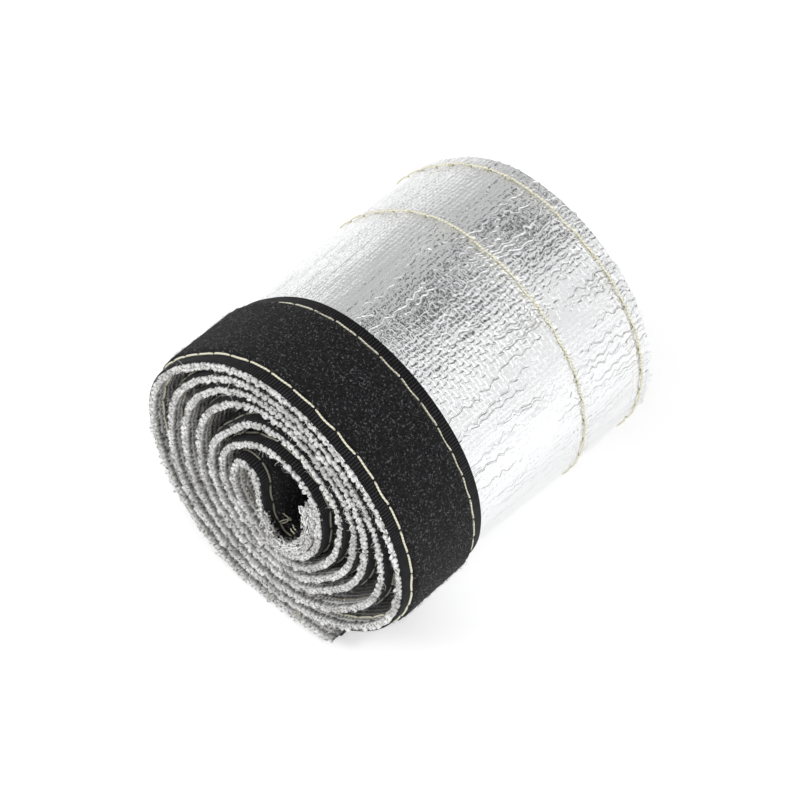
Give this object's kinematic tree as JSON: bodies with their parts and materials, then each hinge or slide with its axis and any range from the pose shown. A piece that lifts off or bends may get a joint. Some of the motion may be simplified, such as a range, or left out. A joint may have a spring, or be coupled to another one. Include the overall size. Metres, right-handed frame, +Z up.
{
  "type": "heat shield sleeve",
  "caption": "Strip of foil-faced glass cloth with loop tape along one edge and hook tape along the other, rolled up foil outwards and lying on its side with its free end flat under it.",
  "frame": {"origin": "on the ground, under the middle of the roll's box", "axes": "+Y along the roll's axis from the loop tape's end to the hook tape's end, +Z up, +X towards the free end's tip"},
  "size_m": [0.0664, 0.066, 0.0692],
  "materials": {
    "glass_cloth": "matte",
    "foil": "satin",
    "tape": "matte",
    "thread": "satin"
  },
  "bodies": {
    "root": {"glass_cloth": "glass_cloth", "foil_facing": "foil", "loop_tape": "tape", "hook_tape": "tape", "loop_tape_outer_seam": "thread", "loop_tape_inner_seam": "thread", "hook_tape_inner_seam": "thread", "hook_tape_outer_seam": "thread"}
  },
  "joints": []
}
